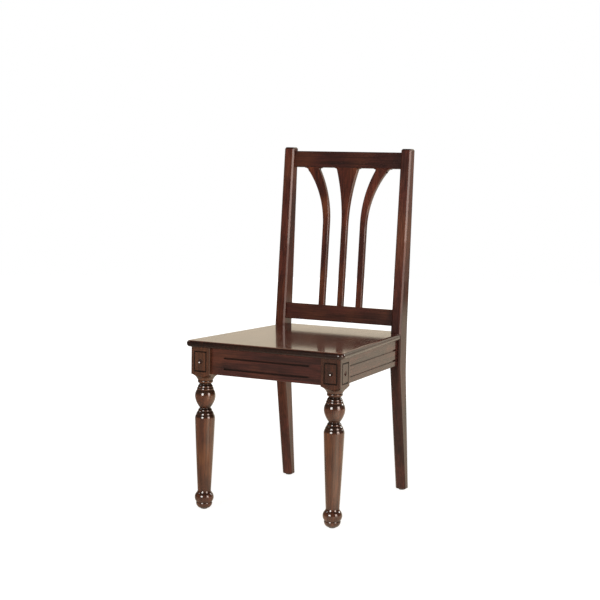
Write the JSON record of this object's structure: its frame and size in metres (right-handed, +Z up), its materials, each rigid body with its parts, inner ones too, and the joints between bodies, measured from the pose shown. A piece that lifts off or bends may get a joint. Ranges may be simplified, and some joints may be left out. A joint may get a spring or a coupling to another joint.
{
  "type": "dining chair",
  "caption": "Wooden dining chair with turned front legs, sabre back legs, grooved aprons, a flat board seat and an open back of flaring splats between two rails.",
  "frame": {"origin": "on the floor, under the middle of the chair's bounding box", "axes": "+Z up; -Y is the way the sitter faces; +X is on the right of someone looking at the chair's front"},
  "size_m": [0.4538, 0.5226, 0.955],
  "materials": {
    "seat_wood": "gloss lacquer over reddish-brown stain",
    "back_wood": "gloss lacquer over reddish-brown stain",
    "apron_wood": "gloss lacquer over reddish-brown stain",
    "turned_wood": "gloss lacquer over reddish-brown stain",
    "button_wood": "gloss lacquer over reddish-brown stain",
    "bare_wood": "bare planed wood",
    "screw_steel": "zinc plated",
    "glide_plastic": "matte moulded"
  },
  "bodies": {
    "root": {"seat_board": "seat_wood", "front_leg_left": "turned_wood", "front_leg_right": "turned_wood", "front_button_left": "button_wood", "front_button_right": "button_wood", "side_button_left": "button_wood", "side_button_right": "button_wood", "rear_post_left": "back_wood", "rear_post_right": "back_wood", "splat_left": "back_wood", "splat_middle": "back_wood", "splat_right": "back_wood", "crest_rail": "back_wood", "lower_back_rail": "back_wood", "front_apron": "apron_wood", "side_apron_left": "apron_wood", "side_apron_right": "apron_wood", "rear_apron": "apron_wood", "corner_block_front_left": "bare_wood", "corner_block_front_right": "bare_wood", "corner_block_rear_left": "bare_wood", "corner_block_rear_right": "bare_wood", "side_apron_dowels_left": "bare_wood", "side_apron_dowels_right": "bare_wood", "front_apron_dowels": "bare_wood", "rear_apron_dowels": "bare_wood", "crest_dowels": "bare_wood", "lower_rail_dowels": "bare_wood", "corner_block_screws": "screw_steel", "seat_screws": "screw_steel", "glide_front_left": "glide_plastic", "glide_front_right": "glide_plastic", "glide_rear_left": "glide_plastic", "glide_rear_right": "glide_plastic"}
  },
  "joints": []
}
